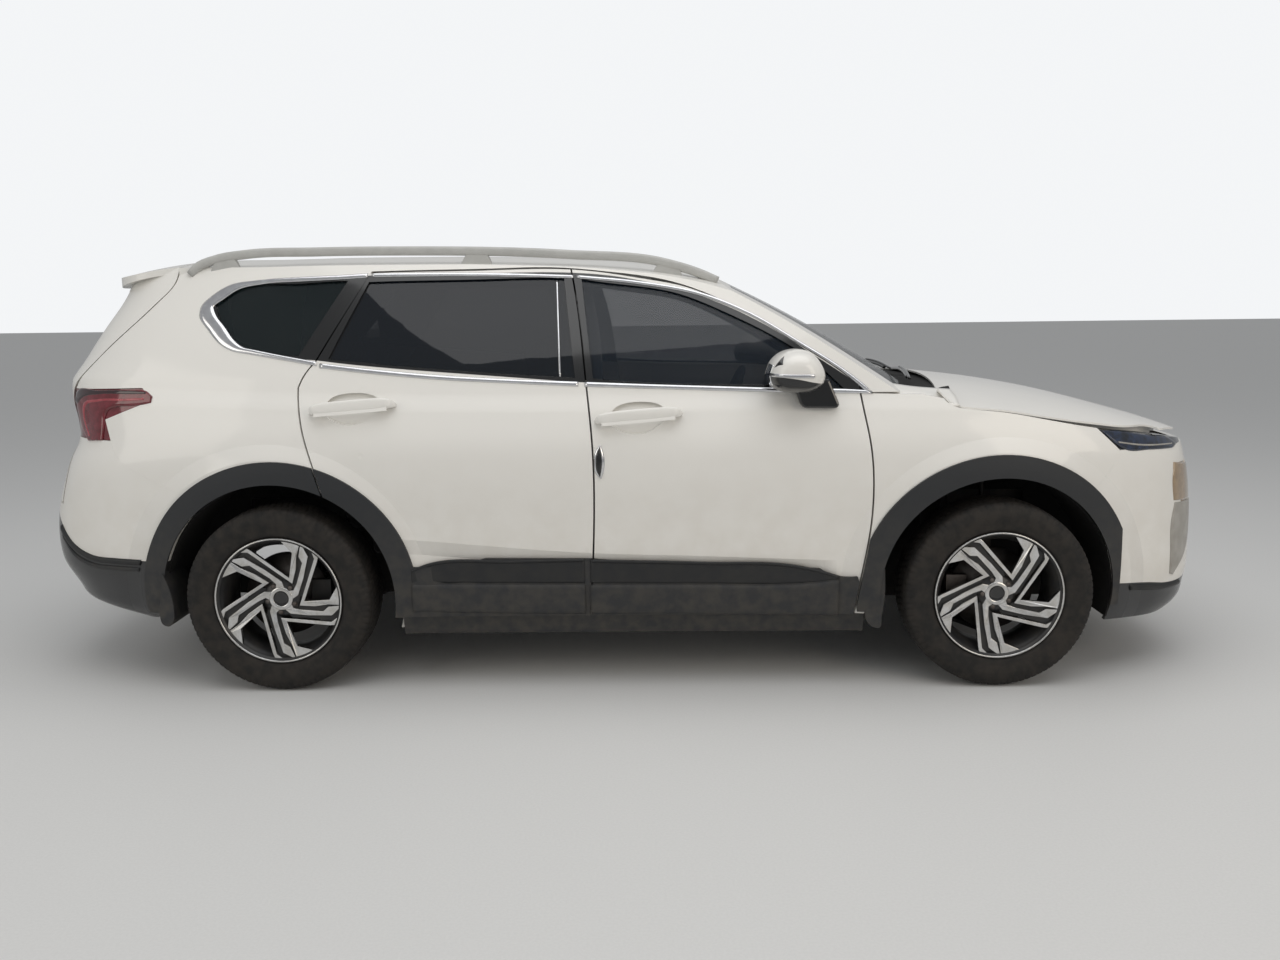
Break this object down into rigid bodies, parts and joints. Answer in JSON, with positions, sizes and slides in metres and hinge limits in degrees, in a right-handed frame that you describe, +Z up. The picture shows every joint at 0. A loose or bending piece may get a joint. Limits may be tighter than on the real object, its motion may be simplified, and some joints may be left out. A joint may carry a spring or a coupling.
{
  "type": "sport utility vehicle",
  "caption": "White mid-size family sport utility vehicle with side doors, bonnet and tailgate that open, turning wheels, and front wheels that steer with the steering wheel.",
  "frame": {"origin": "on the ground under the middle of the overall length, on the centre plane", "axes": "+X forward to the nose, +Y to the car's left, +Z up"},
  "size_m": [4.7922, 2.0768, 1.7145],
  "materials": {
    "paint": "white pearl, clear coated",
    "cladding": "grained, unpainted",
    "grille": "black",
    "glass_clear": "lightly tinted",
    "glass_dark": "privacy tint",
    "lamp_clear": "clear cover over dark and amber insides",
    "lamp_red": "red cover",
    "rail": "satin",
    "dark_metal": "satin black",
    "trim_dark": "soft grain",
    "fabric": "dark woven",
    "engine": "plain block",
    "steel": "dull",
    "tyre": "dusty black rubber",
    "alloy": "machined faces, dark pockets"
  },
  "bodies": {
    "body": {"body_sides": "paint", "sills": "cladding", "roof_panel": "paint", "floor_pan": "dark_metal", "bulkhead": "dark_metal", "fenders": "paint", "front_bumper": "paint", "rear_bumper": "paint", "grille": "grille", "headlamps": "lamp_clear", "tail_lamps": "lamp_red", "fixed_glass": "glass_clear", "roof_rails": "rail", "arch_cladding": "cladding", "wheel_liners": "trim_dark", "dashboard": "trim_dark", "front_seats": "fabric", "rear_seats": "fabric", "engine": "engine", "front_carrier": "dark_metal", "exhaust": "steel", "fuel_tank": "dark_metal", "front_suspension": "dark_metal", "rear_suspension": "dark_metal"},
    "steering": {"steering_wheel": "trim_dark"},
    "bonnet": {"bonnet": "paint"},
    "tailgate": {"tailgate": "paint", "tailgate_glass": "glass_dark"},
    "front_right_door": {"front_right_door": "paint", "front_right_door_glass": "glass_clear", "front_right_door_cladding": "cladding"},
    "front_left_door": {"front_left_door": "paint", "front_left_door_glass": "glass_clear", "front_left_door_cladding": "cladding"},
    "rear_right_door": {"rear_right_door": "paint", "rear_right_door_glass": "glass_dark", "rear_right_door_cladding": "cladding"},
    "rear_left_door": {"rear_left_door": "paint", "rear_left_door_glass": "glass_dark", "rear_left_door_cladding": "cladding"},
    "right_knuckle": {"right_knuckle": "steel"},
    "left_knuckle": {"left_knuckle": "steel"},
    "front_right_wheel": {"front_right_tyre": "tyre", "front_right_rim": "alloy"},
    "front_left_wheel": {"front_left_tyre": "tyre", "front_left_rim": "alloy"},
    "rear_right_wheel": {"rear_right_tyre": "tyre", "rear_right_rim": "alloy"},
    "rear_left_wheel": {"rear_left_tyre": "tyre", "rear_left_rim": "alloy"}
  },
  "joints": [
    {"name": "front_right_door_hinge", "type": "hinge", "parent": "body", "child": "front_right_door", "pos_m": [0.8889, -0.905, 0.8275], "axis": [0, 0, 1], "range_deg": [0, 70]},
    {"name": "front_left_door_hinge", "type": "hinge", "parent": "body", "child": "front_left_door", "pos_m": [0.8889, 0.905, 0.8275], "axis": [0, 0, -1], "range_deg": [0, 70]},
    {"name": "rear_right_door_hinge", "type": "hinge", "parent": "body", "child": "rear_right_door", "pos_m": [-0.16247, -0.905, 0.8275], "axis": [0, 0, 1], "range_deg": [0, 70]},
    {"name": "rear_left_door_hinge", "type": "hinge", "parent": "body", "child": "rear_left_door", "pos_m": [-0.16247, 0.905, 0.8275], "axis": [0, 0, -1], "range_deg": [0, 70]},
    {"name": "bonnet_hinge", "type": "hinge", "parent": "body", "child": "bonnet", "pos_m": [1.1955, 0, 1.104], "axis": [0, -1, 0], "range_deg": [0, 55]},
    {"name": "tailgate_hinge", "type": "hinge", "parent": "body", "child": "tailgate", "pos_m": [-1.7755, 0, 1.663], "axis": [0, 1, 0], "range_deg": [0, 75]},
    {"name": "right_knuckle_steer", "type": "hinge", "parent": "body", "child": "right_knuckle", "pos_m": [1.4475, -0.742, 0.225], "axis": [0, 0.2119, 0.9773], "range_deg": [-35, 35]},
    {"name": "left_knuckle_steer", "type": "hinge", "parent": "body", "child": "left_knuckle", "pos_m": [1.4475, 0.742, 0.225], "axis": [0, -0.2119, 0.9773], "range_deg": [-35, 35]},
    {"name": "steering_wheel_turn", "type": "hinge", "parent": "body", "child": "steering", "pos_m": [0.4915, 0.375, 0.985], "axis": [-0.9272, 0, 0.3746], "range_deg": [-490, 490]},
    {"name": "front_right_wheel_spin", "type": "hinge", "parent": "right_knuckle", "child": "front_right_wheel", "pos_m": [1.4475, -0.8185, 0.362], "axis": [0, 1, 0], "continuous": true},
    {"name": "front_left_wheel_spin", "type": "hinge", "parent": "left_knuckle", "child": "front_left_wheel", "pos_m": [1.4475, 0.8185, 0.362], "axis": [0, 1, 0], "continuous": true},
    {"name": "rear_right_wheel_spin", "type": "hinge", "parent": "body", "child": "rear_right_wheel", "pos_m": [-1.3175, -0.8235, 0.362], "axis": [0, 1, 0], "continuous": true},
    {"name": "rear_left_wheel_spin", "type": "hinge", "parent": "body", "child": "rear_left_wheel", "pos_m": [-1.3175, 0.8235, 0.362], "axis": [0, 1, 0], "continuous": true}
  ],
  "couplings": [
    {"joint": "left_knuckle_steer", "follows": "right_knuckle_steer", "ratio": 1},
    {"joint": "steering_wheel_turn", "follows": "right_knuckle_steer", "ratio": 14}
  ]
}
